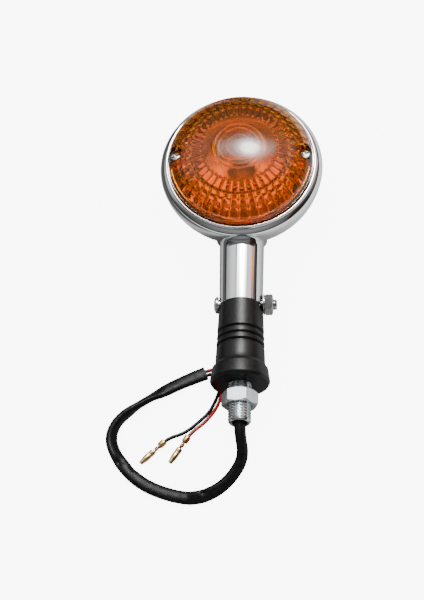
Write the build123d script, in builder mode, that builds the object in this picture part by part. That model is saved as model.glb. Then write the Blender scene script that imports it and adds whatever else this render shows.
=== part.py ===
"""Motorcycle turn signal on a chrome stalk, with a rubber damper, a hollow mounting stud and a sleeved lead.

Frame: origin at the centre of the damper's seating face, on the stud's axis.
+Y runs along the stalk to the lamp, +Z is the lens axis, and the lamp lies on its back on z = FLOOR_Z.
"""

import math
import os

from build123d import *

os.makedirs("parts", exist_ok=True)

# ---------------------------------------------------------------- driving dimensions, mm
LAMP_Y = 100.5  # lens axis, from the seating face
FLOOR_Z = -13.0  # the back of the bowl, and the lowest line of the damper's flange

BOWL_R = 35.9  # widest radius of the bowl
BOWL_R_Z = 11.3  # height of the widest place
BOWL_BACK_R = 17.0  # flat disc that the bowl rests on
RIVET_X = 14.6  # rivets that hold the bulb holder
SHEET = 1.2  # sheet thickness of the bowl
RIM_Z = 17.0  # top of the rolled rim
SEAT_Z = 15.2  # ledge inside the rim that carries the gasket
LEDGE_R = 29.2  # inner radius of that ledge

LENS_R = 31.9  # lens at its edge
LENS_EDGE_Z = 16.0  # underside of the lens edge
LENS_TOP_Z = 33.0  # crown of the lens
LENS_WALL = 2.2
LENS_SHOULDER_Z = 17.2  # where the straight edge turns into the dome

SCREW_X = 28.4  # lens screws, either side of the lens axis
SCREW_Y = LAMP_Y + 0.8
SCREW_SEAT_Z = 19.0  # floor of the screw wells
WELL_R = 3.7
WELL_WALL_R = 5.2
M4_R = 2.0
M4_HEAD_R = 3.5
M4_HEAD_H = 2.3

NECK_R = 11.2  # collar of the bowl that holds the stalk
NECK_Y = 69.7
STALK_END_R = 9.45  # stalk at the damper
STALK_NECK_R = 9.8  # stalk at the bowl
STALK_BORE_R = 8.1
STALK_Y = (37.2, 74.0)

CLAMP_Y = 38.2  # cross bolt
M5_R = 2.5
CLAMP_HOLE_R = 2.65
CLAMP_FACE_X = 9.8  # where its head and its washer bear

SEAT_R = 12.2  # flat ring of the damper that meets the bracket
FLANGE_R = 13.0
FLANGE_Y = 1.4
SHOULDER_Y = (7.2, 9.2)
BODY_LOW_R = 10.8  # damper body at the shoulder
BODY_TOP_R = 9.6  # damper body at the stalk
SPIGOT_R = 8.0
SPIGOT_END_Y = 52.0
GROOVE_YS = (17.4, 20.6, 23.9)
GROOVE_HALF = 0.65
GROOVE_DEEP = 1.0
CORE_Y = (28.0, 52.0)
CORE_R = 6.6
CORE_BORE_R = 5.2

STUD_R = 5.0  # M10 x 1.25
STUD_BORE_R = 3.3
STUD_Y = (-18.0, 12.0)
STUD_HEAD_R = 8.0
STUD_HEAD_Y = (5.8, 8.6)
NUT_Y = (-10.1, -3.75)
RELIEF_Y = (-10.9, -10.2)  # shallow groove between the seated nut and the stud's free end
NUT_ACROSS = 14.0
NUT_TURN = 7.5  # degrees from +X to the first corner
RUNNING = 0.05  # radial clearance of a fastener that turns

SOCKET_R = 8.3
SOCKET_BORE_R = 7.7
BULB_CAP_R = 7.5
BULB_R = 9.0
PIN_ANGLE = 20.0  # the bulb's twist from the slots to the locked position
PIN_R = 1.0

SLEEVE_R = 2.75
WIRE_R = 0.8

LAMP = Plane(origin=(0, LAMP_Y, 0), x_dir=(1, 0, 0), z_dir=(0, -1, 0))
LAMP_BACK = Plane(origin=(0, LAMP_Y, 0), x_dir=(0, -1, 0), z_dir=(-1, 0, 0))
LAMP_AXIS = Axis((0, LAMP_Y, 0), (0, 0, 1))


# ---------------------------------------------------------------- helpers
def save(builder, name):
    """Labels a finished piece and writes it."""
    builder.part.label = name
    export_step(builder.part, f"parts/{name}.step")


def turned(plane, axis, outline, mode=Mode.ADD):
    """Turns an outline of (radius, height) points about an axis, inside the open BuildPart."""
    with BuildSketch(plane) as half:
        with BuildLine():
            Polyline(*outline, close=True)
        make_face()
    revolve(half.sketch, axis=axis, mode=mode)


def level(z):
    """A plane at height z whose origin is on the lens axis."""
    return Plane(origin=(0, LAMP_Y, z), x_dir=(1, 0, 0), z_dir=(0, 0, 1))


def across(y):
    """A plane at distance y along the stalk that faces +Y, with its local x along +X."""
    return Plane(origin=(0, y, 0), x_dir=(1, 0, 0), z_dir=(0, 1, 0))


def sideways(x):
    """A plane at x that faces +X, with its origin on the cross bolt's axis."""
    return Plane(origin=(x, CLAMP_Y, 0), x_dir=(0, 1, 0), z_dir=(1, 0, 0))


def corner_radii(points):
    """For each corner, 0.45 of the shorter run beside it over the tangent of half its turn."""
    spots = [Vector(*p) for p in points]
    runs = [b - a for a, b in zip(spots, spots[1:])]
    radii = []
    for before, after in zip(runs, runs[1:]):
        turn = math.radians(before.get_angle(after))
        radii.append(0.45 * min(before.length, after.length) / math.tan(turn / 2))
    return radii


def routed(name, points, radius):
    """A round cord of this radius along the points, with an arc at each corner."""
    radii = corner_radii(points)
    print(name, "corner radii", [round(r, 1) for r in radii])
    with BuildPart() as cord:
        with BuildLine() as route:
            FilletPolyline(*points, radius=radii)
        heading = Vector(*points[1]) - Vector(*points[0])
        with BuildSketch(Plane(origin=points[0], z_dir=heading)):
            Circle(radius)
        sweep(path=route.wire())
    length = route.wire().length
    share = cord.part.volume / (math.pi * radius**2 * length)
    print(name, "length", round(length, 1), "volume over section times length", round(share, 4))
    save(cord, name)


def chamfered_hex(plane, axis, near, far, across_flats, bore, turn):
    """A hexagon between two distances along an axis, its corners turned off at both faces."""
    corner = across_flats / math.sqrt(3)
    with BuildSketch(plane) as hexagon:
        RegularPolygon(radius=corner, side_count=6, rotation=turn)
        Circle(bore, mode=Mode.SUBTRACT)
    extrude(hexagon.sketch, amount=far - near)
    slope = (corner - across_flats / 2) * 0.6
    flat = across_flats / 2 * 0.97
    low, high = 0.0, far - near
    outline = [
        (0, low),
        (flat, low),
        (corner + 0.05, low + slope),
        (corner + 0.05, high - slope),
        (flat, high),
        (0, high),
    ]
    side = Plane(origin=plane.origin, x_dir=plane.x_dir, z_dir=plane.x_dir.cross(plane.z_dir))
    turned(side, axis, outline, mode=Mode.INTERSECT)


# ---------------------------------------------------------------- bowl
with BuildPart() as housing:
    with BuildSketch(LAMP):
        with BuildLine():
            Line((0, FLOOR_Z), (BOWL_BACK_R, FLOOR_Z))
            ThreePointArc((BOWL_BACK_R, FLOOR_Z), (32.3, 0), (BOWL_R, BOWL_R_Z))
            ThreePointArc((BOWL_R, BOWL_R_Z), (35.3, 13.9), (33.75, 15.7))
            Line((33.75, 15.7), (33.35, 15.9))
            ThreePointArc((33.35, 15.9), (32.8, RIM_Z), (32.1, 16.3))
            Line((32.1, 16.3), (32.1, SEAT_Z))
            Line((32.1, SEAT_Z), (0, SEAT_Z))
            Line((0, SEAT_Z), (0, FLOOR_Z))
        make_face()
    revolve(axis=LAMP_AXIS)
    with BuildSketch(across(NECK_Y)):
        Circle(NECK_R)
    extrude(amount=14.5)
    with BuildSketch(LAMP):
        with BuildLine():
            Line((0, FLOOR_Z + SHEET), (16.7, FLOOR_Z + SHEET))
            ThreePointArc((16.7, FLOOR_Z + SHEET), (31.26, 0.61), (34.7, 11.5))
            Line((34.7, 11.5), (32.7, SEAT_Z - SHEET))
            Line((32.7, SEAT_Z - SHEET), (LEDGE_R, SEAT_Z - SHEET))
            Line((LEDGE_R, SEAT_Z - SHEET), (LEDGE_R, RIM_Z + 1))
            Line((LEDGE_R, RIM_Z + 1), (0, RIM_Z + 1))
            Line((0, RIM_Z + 1), (0, FLOOR_Z + SHEET))
        make_face()
    revolve(axis=LAMP_AXIS, mode=Mode.SUBTRACT)
    with BuildSketch(across(60)):
        Circle(STALK_NECK_R)
    extrude(amount=24, mode=Mode.SUBTRACT)
    # ears that carry the lens nuts
    with BuildSketch(Plane.XY.offset(SEAT_Z - SHEET)):
        with Locations((-SCREW_X, SCREW_Y), (SCREW_X, SCREW_Y)):
            Circle(4.6)
    extrude(amount=SHEET)
    with BuildSketch(Plane.XY.offset(SEAT_Z - SHEET - 0.5)):
        with Locations((-SCREW_X, SCREW_Y), (SCREW_X, SCREW_Y)):
            Circle(M4_R + 0.2)
    extrude(amount=SHEET + 1, mode=Mode.SUBTRACT)
    # rivet holes of the socket bracket
    with BuildSketch(level(FLOOR_Z - 0.5)):
        with Locations((-RIVET_X, 0), (RIVET_X, 0)):
            Circle(1.2)
    extrude(amount=SHEET + 1, mode=Mode.SUBTRACT)
save(housing, "housing")

# ---------------------------------------------------------------- lens, gasket, screws
def dome(radius, top):
    """The outline of a solid dome on the lens edge, half an oval, inside the open BuildLine."""
    rise = top - LENS_SHOULDER_Z
    oval = [
        (radius * math.cos(math.radians(angle)), LENS_SHOULDER_Z + rise * math.sin(math.radians(angle)))
        for angle in (0, 15, 30, 45, 60, 75, 90)
    ]
    Line((0, LENS_EDGE_Z), (radius, LENS_EDGE_Z))
    Line((radius, LENS_EDGE_Z), (radius, LENS_SHOULDER_Z))
    Spline(*oval[:-1], (0, top), tangents=((0, 1), (-1, 0)))
    Line((0, top), (0, LENS_EDGE_Z))


def screw_circles(radius, z):
    """A circle round each lens screw at height z, as a sketch."""
    with BuildSketch(Plane.XY.offset(z)) as circles:
        with Locations((-SCREW_X, SCREW_Y), (SCREW_X, SCREW_Y)):
            Circle(radius)
    return circles.sketch


# solid ground for the screw wells, kept inside the dome
with BuildPart() as well_walls:
    with BuildSketch(LAMP_BACK):
        with BuildLine():
            dome(LENS_R, LENS_TOP_Z)
        make_face()
    revolve(axis=LAMP_AXIS)
    extrude(screw_circles(WELL_WALL_R, LENS_EDGE_Z - 1), amount=20, mode=Mode.INTERSECT)

with BuildPart() as lens:
    with BuildSketch(LAMP_BACK):
        with BuildLine():
            dome(LENS_R, LENS_TOP_Z)
        make_face()
        with BuildLine():
            dome(LENS_R - LENS_WALL, LENS_TOP_Z - LENS_WALL)
        make_face(mode=Mode.SUBTRACT)
    revolve(axis=LAMP_AXIS)
    add(well_walls.part)
    extrude(screw_circles(WELL_R, SCREW_SEAT_Z), amount=15, mode=Mode.SUBTRACT)
    extrude(screw_circles(M4_R + 0.2, LENS_EDGE_Z - 1), amount=5, mode=Mode.SUBTRACT)
save(lens, "lens")

with BuildPart() as lens_gasket:
    with BuildSketch(level(SEAT_Z)):
        Circle(LENS_R)
        Circle(LEDGE_R, mode=Mode.SUBTRACT)
    with BuildSketch(level(SEAT_Z)) as lugs:
        with Locations((-SCREW_X, SCREW_Y - LAMP_Y), (SCREW_X, SCREW_Y - LAMP_Y)):
            Circle(4.2)
        Circle(LENS_R - 0.05, mode=Mode.INTERSECT)
    extrude(amount=LENS_EDGE_Z - SEAT_Z)
    with BuildSketch(Plane.XY.offset(SEAT_Z - 0.5)):
        with Locations((-SCREW_X, SCREW_Y), (SCREW_X, SCREW_Y)):
            Circle(M4_R + 0.3)
    extrude(amount=2, mode=Mode.SUBTRACT)
save(lens_gasket, "lens_gasket")

for side, name in ((-1, "lens_screw_left"), (1, "lens_screw_right")):
    spot = Axis((side * SCREW_X, SCREW_Y, 0), (0, 0, 1))
    upright = Plane(origin=spot.position, x_dir=(1, 0, 0), z_dir=(0, -1, 0))
    with BuildPart() as lens_screw:
        turned(
            upright,
            spot,
            [
                (0, 8.6),
                (M4_R - 0.6, 8.6),
                (M4_R, 9.4),
                (M4_R, SCREW_SEAT_Z),
                (M4_HEAD_R, SCREW_SEAT_Z),
                (M4_HEAD_R, SCREW_SEAT_Z + M4_HEAD_H * 0.6),
                (M4_HEAD_R * 0.6, SCREW_SEAT_Z + M4_HEAD_H),
                (0, SCREW_SEAT_Z + M4_HEAD_H),
            ],
        )
        # cross recess
        top = Plane(origin=(side * SCREW_X, SCREW_Y, SCREW_SEAT_Z + M4_HEAD_H - 1.1))
        with BuildSketch(top):
            Rectangle(3.6, 0.9)
            Rectangle(0.9, 3.6)
        extrude(amount=2, mode=Mode.SUBTRACT)
    save(lens_screw, name)

with BuildPart() as lens_nuts:
    with BuildSketch(Plane.XY.offset(SEAT_Z - SHEET - 2.8)):
        with Locations((-SCREW_X, SCREW_Y), (SCREW_X, SCREW_Y)):
            Rectangle(7.6, 7.6)
            Circle(M4_R + RUNNING, mode=Mode.SUBTRACT)
    extrude(amount=2.8)
save(lens_nuts, "lens_nuts")

# ---------------------------------------------------------------- reflector and bulb holder
PLATE_Z = -4.0  # top of the socket bracket
with BuildPart() as reflector:
    with BuildSketch(LAMP):
        with BuildLine():
            Line((9.0, PLATE_Z), (13.2, PLATE_Z))
            ThreePointArc((13.2, PLATE_Z), (20.9, 0.6), (26.0, 9.0))
            Line((26.0, 9.0), (25.3, 9.4))
            ThreePointArc((25.3, 9.4), (20.3, 1.3), (12.9, PLATE_Z + 0.8))
            Line((12.9, PLATE_Z + 0.8), (9.0, PLATE_Z + 0.8))
            Line((9.0, PLATE_Z + 0.8), (9.0, PLATE_Z))
        make_face()
    revolve(axis=LAMP_AXIS)
    with BuildSketch(level(PLATE_Z - 0.5)):
        with Locations((0, -11), (0, 11)):
            Circle(1.0)
    extrude(amount=2, mode=Mode.SUBTRACT)
save(reflector, "reflector")

with BuildPart() as socket_bracket:
    with BuildSketch(level(PLATE_Z - 0.8)):
        Circle(13.0)
    extrude(amount=0.8)
    # two legs with feet on the back of the bowl
    with BuildSketch(LAMP):
        with BuildLine():
            Polyline(
                (11.2, PLATE_Z - 0.4),
                (12.0, PLATE_Z - 0.4),
                (12.0, FLOOR_Z + SHEET + 0.8),
                (16.2, FLOOR_Z + SHEET + 0.8),
                (16.2, FLOOR_Z + SHEET),
                (11.2, FLOOR_Z + SHEET),
                close=True,
            )
        make_face()
        mirror(about=Plane.YZ)
    extrude(amount=3, both=True)
    with BuildSketch(level(FLOOR_Z + SHEET - 0.5)):
        with Locations((-RIVET_X, 0), (RIVET_X, 0)):
            Circle(1.2)
    extrude(amount=2, mode=Mode.SUBTRACT)
    with BuildSketch(level(PLATE_Z - 1)):
        Circle(SOCKET_R)
        with Locations((0, -11), (0, 11)):
            Circle(1.0)
    extrude(amount=2, mode=Mode.SUBTRACT)
save(socket_bracket, "socket_bracket")

with BuildPart() as bracket_rivets:
    with BuildSketch(level(FLOOR_Z)):
        with Locations((-RIVET_X, 0), (RIVET_X, 0)):
            Circle(1.2)
    extrude(amount=SHEET + 0.8)
    with BuildSketch(level(FLOOR_Z + SHEET + 0.8)):
        with Locations((-RIVET_X, 0), (RIVET_X, 0)):
            Circle(2.1)
    extrude(amount=0.8, taper=20)
save(bracket_rivets, "bracket_rivets")

with BuildPart() as reflector_rivets:
    with BuildSketch(level(PLATE_Z - 1.4)):
        with Locations((0, -11), (0, 11)):
            Circle(1.0)
    extrude(amount=2.8)
    with BuildSketch(level(PLATE_Z + 0.8)):
        with Locations((0, -11), (0, 11)):
            Circle(1.7)
    extrude(amount=0.6)
    with BuildSketch(level(PLATE_Z - 1.4)):
        with Locations((0, -11), (0, 11)):
            Circle(1.7)
    extrude(amount=0.6)
save(reflector_rivets, "reflector_rivets")

SOCKET_Z = (FLOOR_Z + SHEET + 0.2, 5.0)
PIN_Z = -1.0
SLOT = 2.6
with BuildPart() as socket_shell:
    with BuildSketch(level(SOCKET_Z[0])):
        Circle(SOCKET_R)
    extrude(amount=SOCKET_Z[1] - SOCKET_Z[0])
    with BuildSketch(level(SOCKET_Z[0] + 0.6)):
        Circle(SOCKET_BORE_R)
    extrude(amount=20, mode=Mode.SUBTRACT)
    with BuildSketch(level(SOCKET_Z[0] - 0.5)):
        Circle(3.6)
    extrude(amount=2, mode=Mode.SUBTRACT)
    # entry slots at 0 and 180 degrees, then a turn to PIN_ANGLE
    with BuildSketch(level(PIN_Z - SLOT / 2)):
        Rectangle(2 * SOCKET_R + 2, SLOT)
    extrude(amount=20, mode=Mode.SUBTRACT)
    for start in (0, 180):
        at = Plane(LAMP.origin, x_dir=(1, 0, 0), z_dir=(0, -1, 0)).rotated((0, 0, start))
        with BuildSketch(at):
            with Locations((SOCKET_R, PIN_Z)):
                Rectangle(3.0, SLOT)
        revolve(axis=LAMP_AXIS, revolution_arc=PIN_ANGLE + 9, mode=Mode.SUBTRACT)
    # way in for the live wire
    with BuildSketch(Plane(origin=(0, LAMP_Y, -8.4), x_dir=(1, 0, 0), z_dir=(0, -1, 0))):
        Circle(WIRE_R + 0.2)
    extrude(amount=SOCKET_R + 1, mode=Mode.SUBTRACT)
save(socket_shell, "socket_shell")

with BuildPart() as contact_carrier:
    with BuildSketch(level(-9.0)):
        Circle(SOCKET_BORE_R - 0.2)
        Circle(1.4, mode=Mode.SUBTRACT)
    extrude(amount=1.2)
save(contact_carrier, "contact_carrier")

with BuildPart() as contact_plunger:
    turned(
        LAMP,
        LAMP_AXIS,
        [(0, -9.8), (2.6, -9.8), (2.6, -9.0), (1.4, -9.0), (1.4, -7.8), (1.1, -7.5), (0, -7.5)],
    )
save(contact_plunger, "contact_plunger")

with BuildPart() as contact_spring:
    with BuildSketch(level(SOCKET_Z[0] + 0.6)):
        Circle(6.6)
        Circle(5.6, mode=Mode.SUBTRACT)
    extrude(amount=-9.0 - SOCKET_Z[0] - 0.6)
save(contact_spring, "contact_spring")

with BuildPart() as bulb_cap:
    turned(
        LAMP,
        LAMP_AXIS,
        [(6.9, -6.5), (BULB_CAP_R - 0.3, -6.5), (BULB_CAP_R, -6.2), (BULB_CAP_R, 6.5), (6.9, 6.5)],
    )
    for angle in (PIN_ANGLE, PIN_ANGLE + 180):
        out = Plane(
            origin=(0, LAMP_Y, PIN_Z),
            x_dir=(0, 0, 1),
            z_dir=(math.cos(math.radians(angle)), math.sin(math.radians(angle)), 0),
        )
        with BuildSketch(out.offset(BULB_CAP_R - 0.4)):
            Circle(PIN_R)
        extrude(amount=1.2)
save(bulb_cap, "bulb_cap")

with BuildPart() as bulb_insulator:
    turned(LAMP, LAMP_AXIS, [(0, -6.5), (6.5, -6.5), (6.9, -6.1), (6.9, -5.2), (0, -5.2)])
save(bulb_insulator, "bulb_insulator")

with BuildPart() as bulb_contact:
    turned(LAMP, LAMP_AXIS, [(0, -7.5), (1.4, -7.5), (2.2, -7.0), (2.4, -6.5), (0, -6.5)])
save(bulb_contact, "bulb_contact")

with BuildPart() as bulb_glass:
    with BuildSketch(LAMP):
        with BuildLine():
            Line((6.7, 0.5), (6.7, 7.5))
            Spline((6.7, 7.5), (BULB_R, 17.0), (0, 27.0), tangents=((0.2, 1), (-1, 0)))
            Line((0, 27.0), (0, 26.4))
            Spline((0, 26.4), (BULB_R - 0.6, 17.0), (6.1, 7.5), tangents=((1, 0), (-0.2, -1)))
            Line((6.1, 7.5), (6.1, 0.5))
            Line((6.1, 0.5), (6.7, 0.5))
        make_face()
    revolve(axis=LAMP_AXIS)
save(bulb_glass, "bulb_glass")

with BuildPart() as bulb_filament:
    with BuildSketch(level(-5.2)):
        with Locations((-2.6, 0), (2.6, 0)):
            Circle(0.3)
    extrude(amount=22.2)
    with BuildSketch(Plane(origin=(-3.2, LAMP_Y, 16.6), x_dir=(0, 1, 0), z_dir=(1, 0, 0))):
        Circle(0.55)
    extrude(amount=6.4)
save(bulb_filament, "bulb_filament")

# ---------------------------------------------------------------- stalk and clamp
with BuildPart() as stalk:
    turned(
        Plane.XY,
        Axis.Y,
        [
            (STALK_BORE_R, STALK_Y[0]),
            (STALK_END_R - 0.3, STALK_Y[0]),
            (STALK_END_R, STALK_Y[0] + 0.3),
            (STALK_NECK_R, NECK_Y - 1),
            (STALK_NECK_R, STALK_Y[1]),
            (STALK_BORE_R, STALK_Y[1]),
        ],
    )
    # open ended notches that slide over the cross bolt
    with BuildSketch(sideways(-15)):
        Circle(CLAMP_HOLE_R)
    extrude(amount=30, mode=Mode.SUBTRACT)
save(stalk, "stalk")

with BuildPart() as clamp_bolt:
    bolt_axis = Axis((0, CLAMP_Y, 0), (1, 0, 0))
    bolt_side = Plane(origin=(0, CLAMP_Y, 0), x_dir=(0, 1, 0), z_dir=(0, 0, 1))
    turned(
        bolt_side,
        bolt_axis,
        [
            (0, CLAMP_FACE_X + 1.8),
            (2.4, CLAMP_FACE_X + 1.8),
            (3.7, CLAMP_FACE_X + 0.7),
            (3.7, CLAMP_FACE_X),
            (M5_R, CLAMP_FACE_X),
            (M5_R, -15.0),
            (2.0, -15.7),
            (0, -15.7),
        ],
    )
    with BuildSketch(sideways(-CLAMP_FACE_X - 2)):
        Rectangle(1.0, 4.2)
        Rectangle(4.2, 1.0)
    extrude(amount=1.2, mode=Mode.SUBTRACT)
save(clamp_bolt, "clamp_bolt")

with BuildPart() as clamp_washer:
    with BuildSketch(sideways(CLAMP_FACE_X)):
        Circle(4.6)
        Circle(M5_R + 0.15, mode=Mode.SUBTRACT)
    extrude(amount=0.5)
save(clamp_washer, "clamp_washer")

with BuildPart() as clamp_nut:
    chamfered_hex(
        sideways(CLAMP_FACE_X + 0.5),
        bolt_axis,
        0,
        3.6,
        8.0,
        M5_R + RUNNING,
        20,
    )
save(clamp_nut, "clamp_nut")

# ---------------------------------------------------------------- damper and stud
with BuildPart() as damper_core:
    with BuildSketch(across(CORE_Y[0])):
        Circle(CORE_R)
        Circle(CORE_BORE_R, mode=Mode.SUBTRACT)
    extrude(amount=CORE_Y[1] - CORE_Y[0])
    with BuildSketch(sideways(-15)):
        Circle(CLAMP_HOLE_R)
    extrude(amount=30, mode=Mode.SUBTRACT)
save(damper_core, "damper_core")


def body_radius(y):
    """The damper's cone between its shoulder and the stalk."""
    along = (y - SHOULDER_Y[1]) / (STALK_Y[0] - SHOULDER_Y[1])
    return BODY_LOW_R + along * (BODY_TOP_R - BODY_LOW_R)


with BuildPart() as damper_rubber:
    with BuildSketch(Plane.XY):
        with BuildLine():
            Line((0, 0), (SEAT_R, 0))
            Line((SEAT_R, 0), (FLANGE_R, FLANGE_Y))
            Line((FLANGE_R, FLANGE_Y), (12.1, SHOULDER_Y[0]))
            ThreePointArc((12.1, SHOULDER_Y[0]), (11.25, 8.0), (BODY_LOW_R, SHOULDER_Y[1]))
            Line((BODY_LOW_R, SHOULDER_Y[1]), (BODY_TOP_R, STALK_Y[0]))
            Line((BODY_TOP_R, STALK_Y[0]), (SPIGOT_R, STALK_Y[0]))
            Line((SPIGOT_R, STALK_Y[0]), (SPIGOT_R, SPIGOT_END_Y))
            Line((SPIGOT_R, SPIGOT_END_Y), (0, SPIGOT_END_Y))
            Line((0, SPIGOT_END_Y), (0, 0))
        make_face()
    revolve(axis=Axis.Y)
    for y in GROOVE_YS:
        edge = body_radius(y)
        turned(
            Plane.XY,
            Axis.Y,
            [
                (edge - GROOVE_DEEP, y - GROOVE_HALF * 0.6),
                (edge + 1, y - GROOVE_HALF * 1.8),
                (edge + 1, y + GROOVE_HALF * 1.8),
                (edge - GROOVE_DEEP, y + GROOVE_HALF * 0.6),
            ],
            mode=Mode.SUBTRACT,
        )
    # the stud and the core are moulded in, and the lead passes between them
    turned(
        Plane.XY,
        Axis.Y,
        [
            (0, -1),
            (STUD_R, -1),
            (STUD_R, STUD_HEAD_Y[0]),
            (STUD_HEAD_R, STUD_HEAD_Y[0]),
            (STUD_HEAD_R, STUD_HEAD_Y[1]),
            (STUD_R, STUD_HEAD_Y[1]),
            (STUD_R, STUD_Y[1]),
            (STUD_BORE_R, STUD_Y[1]),
            (STUD_BORE_R, CORE_Y[0] - 3),
            (CORE_BORE_R, CORE_Y[0]),
            (CORE_R, CORE_Y[0]),
            (CORE_R, SPIGOT_END_Y + 1),
            (0, SPIGOT_END_Y + 1),
        ],
        mode=Mode.SUBTRACT,
    )
    with BuildSketch(sideways(-15)):
        Circle(CLAMP_HOLE_R)
    extrude(amount=30, mode=Mode.SUBTRACT)
save(damper_rubber, "damper_rubber")

with BuildPart() as mounting_stud:
    turned(
        Plane.XY,
        Axis.Y,
        [
            (STUD_BORE_R, STUD_Y[0]),
            (STUD_R - 0.8, STUD_Y[0]),
            (STUD_R, STUD_Y[0] + 0.8),
            (STUD_R, RELIEF_Y[0]),
            (STUD_R - 0.3, RELIEF_Y[0]),
            (STUD_R - 0.3, RELIEF_Y[1]),
            (STUD_R, RELIEF_Y[1]),
            (STUD_R, STUD_HEAD_Y[0]),
            (STUD_HEAD_R, STUD_HEAD_Y[0]),
            (STUD_HEAD_R, STUD_HEAD_Y[1]),
            (STUD_R, STUD_HEAD_Y[1]),
            (STUD_R, STUD_Y[1]),
            (STUD_BORE_R, STUD_Y[1]),
        ],
    )
save(mounting_stud, "mounting_stud")

with BuildPart() as mounting_nut:
    chamfered_hex(
        across(NUT_Y[0]),
        Axis.Y,
        NUT_Y[0],
        NUT_Y[1],
        NUT_ACROSS,
        STUD_R + RUNNING,
        -NUT_TURN,
    )
save(mounting_nut, "mounting_nut")

# ---------------------------------------------------------------- leads
# inside the stalk, from the bulb holder to the sleeve
routed(
    "inner_red_wire",
    [
        (0, 92.9, -8.4),
        (0, 87.5, -8.2),
        (0.6, 80.0, -6.8),
        (1.2, 71.0, -6.0),
        (0.6, 61.0, -5.6),
        (0, 51.5, -3.9),
        (0.1, 43.5, -3.7),
        (0, 36.5, -3.8),
        (0.5, 29.5, -2.2),
        (1.0, 21.5, -0.6),
        (1.0, 13.5, 0),
        (1.0, 7.5, 0),
    ],
    WIRE_R,
)
routed(
    "inner_black_wire",
    [
        (2.2, 92.4, -6.4),
        (3.2, 87.5, -6.0),
        (3.6, 80.0, -4.2),
        (3.0, 71.0, -1.5),
        (2.2, 61.0, 1.2),
        (1.0, 51.5, 3.4),
        (0.1, 43.5, 3.7),
        (0, 36.5, 3.8),
        (-0.6, 29.5, 2.2),
        (-1.0, 21.5, 0.6),
        (-1.0, 13.5, 0),
        (-1.0, 7.5, 0),
    ],
    WIRE_R,
)

SLEEVE_ROUTE = [
    (0, 7.5, 0),
    (0, -7.5, 0),
    (0.1, -22, -0.3),
    (1.8, -30.6, -6.4),
    (-3.4, -38.7, -9.6),
    (-9.8, -44.4, -10.25),
    (-17.8, -47.6, -10.25),
    (-27, -46.7, -10.25),
    (-38.4, -42.6, -10.25),
    (-46.2, -37, -10.25),
    (-53, -28.4, -10.25),
    (-56.2, -20.4, -10.25),
    (-53.8, -12.1, -10.25),
    (-46.1, -5.4, -10.25),
    (-36.9, 0.6, -10.25),
    (-25.4, 7.2, -10.25),
    (-15.6, 11.2, -10.25),
]
routed("wire_sleeve", SLEEVE_ROUTE, SLEEVE_R)

BLACK_ROUTE = [
    (-15.24, 10.32, -12.2),
    (-11.91, 11.69, -12.2),
    (-8.28, 8.8, -12.2),
    (-9.27, 3.85, -12.2),
    (-11.48, -2.56, -12.2),
    (-13.93, -7.44, -12.2),
    (-18.55, -12.06, -12.2),
    (-24.5, -17.09, -12.2),
    (-31.2, -19.4, -11.5),
    (-34.4, -22.6, -11.5),
]
RED_ROUTE = [
    (-15.96, 12.08, -12.2),
    (-11.71, 13.83, -12.2),
    (-6.42, 10.76, -12.2),
    (-7.06, 4.63, -12.2),
    (-9.5, -2.18, -12.2),
    (-10.97, -6.03, -12.2),
    (-15.33, -11.93, -12.2),
    (-21.5, -17, -11.5),
    (-23.9, -20.85, -11.5),
]
routed("black_wire", BLACK_ROUTE, WIRE_R)
routed("red_wire", RED_ROUTE, WIRE_R)

# bullet terminals: (distance along the terminal, radius)
BULLET = [
    (0, WIRE_R + 0.05),
    (0, 1.45),
    (3.2, 1.45),
    (3.6, 0.6),
    (6.4, 0.6),
    (6.8, 1.35),
    (11.2, 1.35),
    (13.8, 1.0),
    (14.2, 1.0),
    (14.2, 0),
    (2.4, 0),
    (2.4, WIRE_R + 0.05),
]


def terminal(name, route, heading):
    """A bullet terminal crimped round the end of a wire, lying along a heading in the XY plane."""
    turn = math.radians(heading)
    along = Vector(math.cos(turn), math.sin(turn), 0)
    start = Vector(*route[-1]) - along * 2.4
    axis = Axis(start, along)
    with BuildPart() as bullet:
        with BuildSketch(Plane(origin=start, x_dir=along, z_dir=(0, 0, 1))):
            with BuildLine():
                Polyline(*BULLET, close=True)
            make_face()
        revolve(axis=axis)
    save(bullet, name)


terminal("black_terminal", BLACK_ROUTE, 225)
terminal("red_terminal", RED_ROUTE, 238)
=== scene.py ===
import math

import bmesh
import bpy
import numpy as np
from mathutils import Matrix, Vector


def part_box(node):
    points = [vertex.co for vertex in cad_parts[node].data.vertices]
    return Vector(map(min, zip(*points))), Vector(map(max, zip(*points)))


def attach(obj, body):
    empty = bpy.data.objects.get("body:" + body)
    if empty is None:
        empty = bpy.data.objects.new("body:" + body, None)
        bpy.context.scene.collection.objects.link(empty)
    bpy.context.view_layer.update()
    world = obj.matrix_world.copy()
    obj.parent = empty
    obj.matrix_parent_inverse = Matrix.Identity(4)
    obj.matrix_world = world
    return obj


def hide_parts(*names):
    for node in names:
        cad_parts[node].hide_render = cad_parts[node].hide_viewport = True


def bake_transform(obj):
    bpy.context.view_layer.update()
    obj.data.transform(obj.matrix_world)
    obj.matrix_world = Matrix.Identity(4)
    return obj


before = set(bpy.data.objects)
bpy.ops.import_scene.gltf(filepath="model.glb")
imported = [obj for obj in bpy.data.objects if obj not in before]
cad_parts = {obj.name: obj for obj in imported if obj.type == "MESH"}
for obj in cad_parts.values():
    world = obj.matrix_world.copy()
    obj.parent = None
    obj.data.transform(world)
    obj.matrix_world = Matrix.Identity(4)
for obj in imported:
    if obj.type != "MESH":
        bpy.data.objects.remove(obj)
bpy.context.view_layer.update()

MM = 0.001
LAMP_Y = 100.5
FLOOR_Z = -13.0
TAU = 2 * math.pi

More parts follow.
